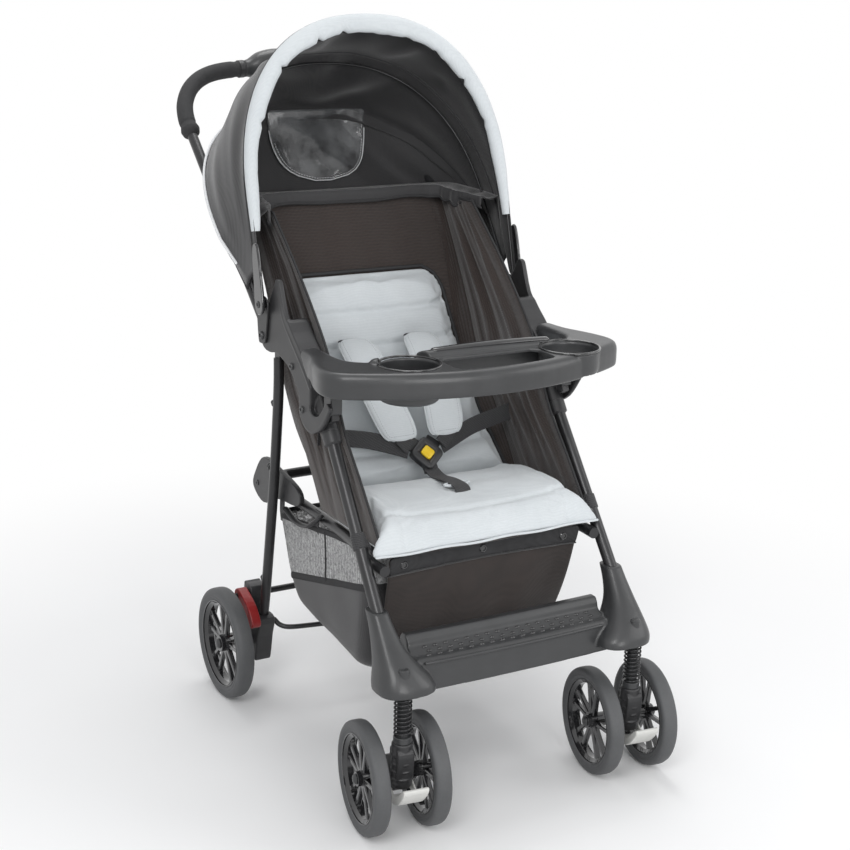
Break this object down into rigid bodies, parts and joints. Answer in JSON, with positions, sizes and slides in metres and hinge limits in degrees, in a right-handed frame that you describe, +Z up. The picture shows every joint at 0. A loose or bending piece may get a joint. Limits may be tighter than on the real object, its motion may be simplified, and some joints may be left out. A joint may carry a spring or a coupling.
{
  "type": "two-in-one stroller",
  "caption": "Folding stroller with twin sprung swivel front wheels, braked rear wheels, arched handle, hinged hood, reclining padded seat, harness, cup tray and basket.",
  "frame": {"origin": "centre of the ground rectangle under the whole stroller", "axes": "+Z up, -Y to the front where the child looks, +X to the child's left"},
  "size_m": [0.5019, 0.8865, 1.0549],
  "materials": {
    "frame_tube": "satin black powder coat",
    "black_plastic": "fine matte grain",
    "grip_foam": "matte closed-cell foam",
    "tyre": "matte foam rubber",
    "spring_steel": "black coated wire",
    "steel": "plain steel",
    "pale_plastic": "light grey moulded plastic",
    "red_plastic": "dark red moulded plastic",
    "yellow_plastic": "yellow moulded plastic",
    "pale_fabric": "pale blue-grey woven cloth",
    "black_fabric": "black woven cloth",
    "brown_mesh": "black-brown mesh cloth",
    "grey_mesh": "grey open mesh",
    "webbing": "black nylon webbing",
    "white_trim": "white corded piping",
    "clear_film": "clear flexible film"
  },
  "bodies": {
    "front_frame": {"front_leg_right": "frame_tube", "front_leg_left": "frame_tube", "bracket_right": "black_plastic", "bracket_left": "black_plastic", "footrest": "black_plastic", "seat_tube": "frame_tube", "seat_sling": "brown_mesh", "seat_pad": "pale_fabric", "front_panel": "black_fabric", "basket": "grey_mesh", "buckle": "black_plastic", "crotch_strap": "webbing", "lap_belt": "webbing", "suspension_spring_right": "spring_steel", "suspension_spring_left": "spring_steel"},
    "rear_frame": {"rear_leg_right": "frame_tube", "rear_leg_left": "frame_tube", "rear_foot_right": "black_plastic", "rear_foot_left": "black_plastic", "rear_crossbar": "frame_tube"},
    "brake": {"brake_bar": "frame_tube", "brake_pedal_right": "red_plastic", "brake_pedal_left": "red_plastic"},
    "handle": {"handle_tube": "frame_tube", "grip_right": "grip_foam", "grip_left": "grip_foam", "console": "black_plastic", "canopy_mount_right": "black_plastic", "canopy_mount_left": "black_plastic", "canopy_shell": "black_fabric"},
    "fold_release": {"fold_trigger": "black_plastic"},
    "hood_front": {"canopy_bow": "frame_tube", "canopy_rim": "pale_fabric"},
    "hood_middle": {"canopy_mid_bow": "frame_tube"},
    "backrest": {"backrest_board": "brown_mesh", "back_pad": "pale_fabric", "shoulder_pad_right": "pale_fabric", "shoulder_pad_left": "pale_fabric"},
    "tray_body": {"tray": "black_plastic"},
    "buckle_release": {"buckle_button": "yellow_plastic"},
    "suspension_right": {"caster_stem_right": "steel"},
    "caster_right": {"caster_body_right": "black_plastic", "front_axle_right": "steel"},
    "swivel_lock_right": {"swivel_lock_right": "pale_plastic"},
    "front_wheel_outer_right": {"front_rim_outer_right": "black_plastic", "front_tyre_outer_right": "tyre"},
    "front_wheel_inner_right": {"front_rim_inner_right": "black_plastic", "front_tyre_inner_right": "tyre"},
    "rear_wheel_right": {"rear_rim_right": "black_plastic", "rear_tyre_right": "tyre"},
    "suspension_left": {"caster_stem_left": "steel"},
    "caster_left": {"caster_body_left": "black_plastic", "front_axle_left": "steel"},
    "swivel_lock_left": {"swivel_lock_left": "pale_plastic"},
    "front_wheel_outer_left": {"front_rim_outer_left": "black_plastic", "front_tyre_outer_left": "tyre"},
    "front_wheel_inner_left": {"front_rim_inner_left": "black_plastic", "front_tyre_inner_left": "tyre"},
    "rear_wheel_left": {"rear_rim_left": "black_plastic", "rear_tyre_left": "tyre"}
  },
  "joints": [
    {"name": "front_suspension_right", "type": "slide", "parent": "front_frame", "child": "suspension_right", "axis": [0, 0, 1], "range_m": [0, 0.012], "stiffness_N_per_m": 8000, "springref_m": -0.01, "deforming": ["suspension_spring_right"]},
    {"name": "caster_swivel_right", "type": "hinge", "parent": "suspension_right", "child": "caster_right", "pos_m": [-0.187, -0.387, 0.13], "axis": [0, 0, 1], "continuous": true},
    {"name": "swivel_lock_right", "type": "hinge", "parent": "caster_right", "child": "swivel_lock_right", "pos_m": [-0.18333, -0.35874, 0.0785], "axis": [0.9917, -0.1288, 0], "range_deg": [0, 18]},
    {"name": "front_wheel_spin_outer_right", "type": "hinge", "parent": "caster_right", "child": "front_wheel_outer_right", "pos_m": [-0.18333, -0.35874, 0.0785], "axis": [0.9917, -0.1288, 0], "continuous": true},
    {"name": "front_wheel_spin_inner_right", "type": "hinge", "parent": "caster_right", "child": "front_wheel_inner_right", "pos_m": [-0.18333, -0.35874, 0.0785], "axis": [0.9917, -0.1288, 0], "continuous": true},
    {"name": "rear_wheel_spin_right", "type": "hinge", "parent": "rear_frame", "child": "rear_wheel_right", "pos_m": [-0.227, 0.12, 0.088], "axis": [1, 0, 0], "continuous": true},
    {"name": "front_suspension_left", "type": "slide", "parent": "front_frame", "child": "suspension_left", "axis": [0, 0, 1], "range_m": [0, 0.012], "stiffness_N_per_m": 8000, "springref_m": -0.01, "deforming": ["suspension_spring_left"]},
    {"name": "caster_swivel_left", "type": "hinge", "parent": "suspension_left", "child": "caster_left", "pos_m": [0.187, -0.387, 0.13], "axis": [0, 0, 1], "continuous": true},
    {"name": "swivel_lock_left", "type": "hinge", "parent": "caster_left", "child": "swivel_lock_left", "pos_m": [0.19067, -0.35874, 0.0785], "axis": [0.9917, -0.1288, 0], "range_deg": [0, 18]},
    {"name": "front_wheel_spin_outer_left", "type": "hinge", "parent": "caster_left", "child": "front_wheel_outer_left", "pos_m": [0.19067, -0.35874, 0.0785], "axis": [0.9917, -0.1288, 0], "continuous": true},
    {"name": "front_wheel_spin_inner_left", "type": "hinge", "parent": "caster_left", "child": "front_wheel_inner_left", "pos_m": [0.19067, -0.35874, 0.0785], "axis": [0.9917, -0.1288, 0], "continuous": true},
    {"name": "rear_wheel_spin_left", "type": "hinge", "parent": "rear_frame", "child": "rear_wheel_left", "pos_m": [0.227, 0.12, 0.088], "axis": [1, 0, 0], "continuous": true},
    {"name": "fold", "type": "hinge", "parent": "front_frame", "child": "handle", "pos_m": [0, 0.0115, 0.608], "axis": [1, 0, 0], "range_deg": [0, 90]},
    {"name": "rear_fold", "type": "hinge", "parent": "front_frame", "child": "rear_frame", "pos_m": [0, 0.0115, 0.608], "axis": [1, 0, 0], "range_deg": [-27, 0]},
    {"name": "hood_fold", "type": "hinge", "parent": "handle", "child": "hood_front", "pos_m": [0, 0.0015, 0.656], "axis": [1, 0, 0], "range_deg": [-22, 0], "deforming": ["canopy_shell"]},
    {"name": "hood_middle_fold", "type": "hinge", "parent": "handle", "child": "hood_middle", "pos_m": [0, 0.0195, 0.65], "axis": [1, 0, 0], "range_deg": [-11, 0], "deforming": ["canopy_shell"]},
    {"name": "recline", "type": "hinge", "parent": "front_frame", "child": "backrest", "pos_m": [0, -0.092, 0.3735], "axis": [1, 0, 0], "range_deg": [-30, 0], "deforming": ["lap_belt"]},
    {"name": "tray_release", "type": "slide", "parent": "front_frame", "child": "tray_body", "axis": [0, -1, 0], "range_m": [0, 0.035]},
    {"name": "brake_press", "type": "hinge", "parent": "rear_frame", "child": "brake", "pos_m": [0, 0.1265, 0.16], "axis": [1, 0, 0], "range_deg": [0, 18]},
    {"name": "fold_trigger_pull", "type": "slide", "parent": "handle", "child": "fold_release", "axis": [0, 0, 1], "range_m": [0, 0.003], "stiffness_N_per_m": 600, "springref_m": -0.003},
    {"name": "buckle_press", "type": "slide", "parent": "front_frame", "child": "buckle_release", "axis": [0, 0.766, -0.6428], "range_m": [0, 0.0025], "stiffness_N_per_m": 600, "springref_m": -0.002}
  ],
  "couplings": [
    {"joint": "rear_fold", "follows": "fold", "ratio": -0.3},
    {"joint": "hood_middle_fold", "follows": "hood_fold", "ratio": 0.5}
  ]
}
